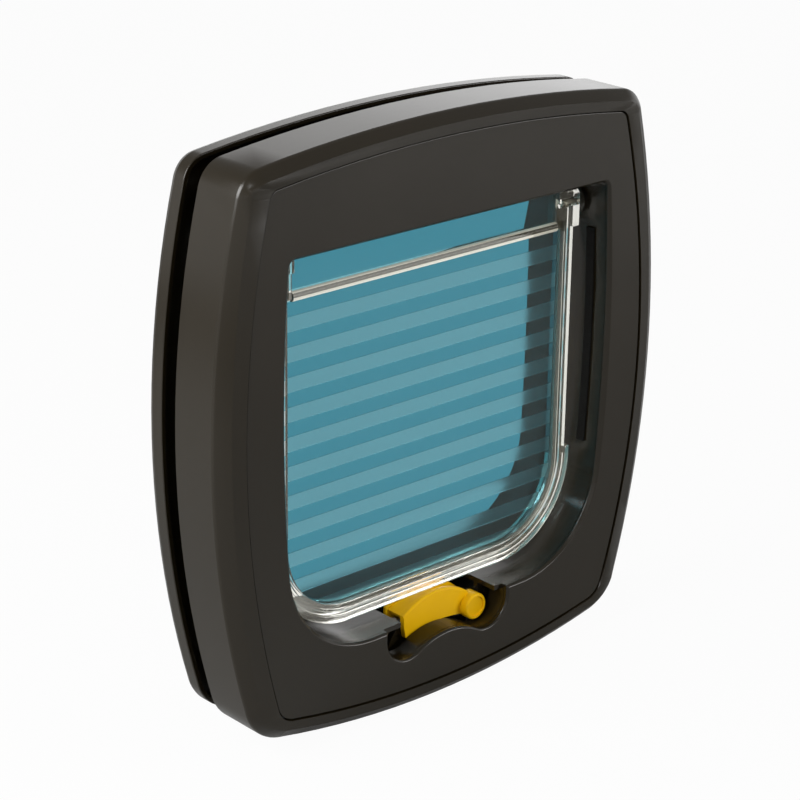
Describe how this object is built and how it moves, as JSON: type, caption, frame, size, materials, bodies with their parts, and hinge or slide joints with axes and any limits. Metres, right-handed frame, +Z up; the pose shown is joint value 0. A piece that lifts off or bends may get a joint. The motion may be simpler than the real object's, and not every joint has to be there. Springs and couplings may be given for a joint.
{
  "type": "cat flap",
  "caption": "Cat flap for a door: two framed covers around a short tunnel, a top-hung clear flap that swings both ways, and a turning latch below it.",
  "frame": {"origin": "centre of the frame's outline on the plane where the indoor frame's back rim meets the door face", "axes": "+Z up, +X to the right as seen from indoors, +Y through the door towards outdoors"},
  "size_m": [0.241, 0.0465, 0.252],
  "materials": {
    "frame_plastic": "semi-gloss dark brown moulded plastic",
    "cover_plastic": "semi-gloss dark brown moulded plastic",
    "rear_plastic": "semi-gloss dark brown moulded plastic",
    "flap_clear": "clear moulded plastic with frosted stripes",
    "pin_steel": "plain",
    "pile_black": "short pile",
    "latch_yellow": "satin moulded plastic",
    "washer_steel": "plain",
    "screw_steel": "zinc plated"
  },
  "bodies": {
    "frame": {"front_frame": "frame_plastic", "front_cover": "cover_plastic", "rear_frame": "rear_plastic", "hinge_pin_left": "pin_steel", "hinge_pin_right": "pin_steel", "draught_strip_left": "pile_black", "draught_strip_right": "pile_black", "latch_washer": "washer_steel", "latch_screw": "screw_steel", "door_screw_top_left": "screw_steel", "door_screw_top_right": "screw_steel", "door_screw_bottom_left": "screw_steel", "door_screw_bottom_right": "screw_steel"},
    "flap": {"flap": "flap_clear"},
    "latch": {"latch": "latch_yellow"}
  },
  "joints": [
    {"name": "flap_hinge", "type": "hinge", "parent": "frame", "child": "flap", "pos_m": [0, -0.0087, 0.071], "axis": [1, 0, 0], "range_deg": [-80, 80]},
    {"name": "latch_pivot", "type": "hinge", "parent": "frame", "child": "latch", "pos_m": [0, -0.0087, -0.112], "axis": [0, 1, 0], "range_deg": [-65, 0]}
  ]
}
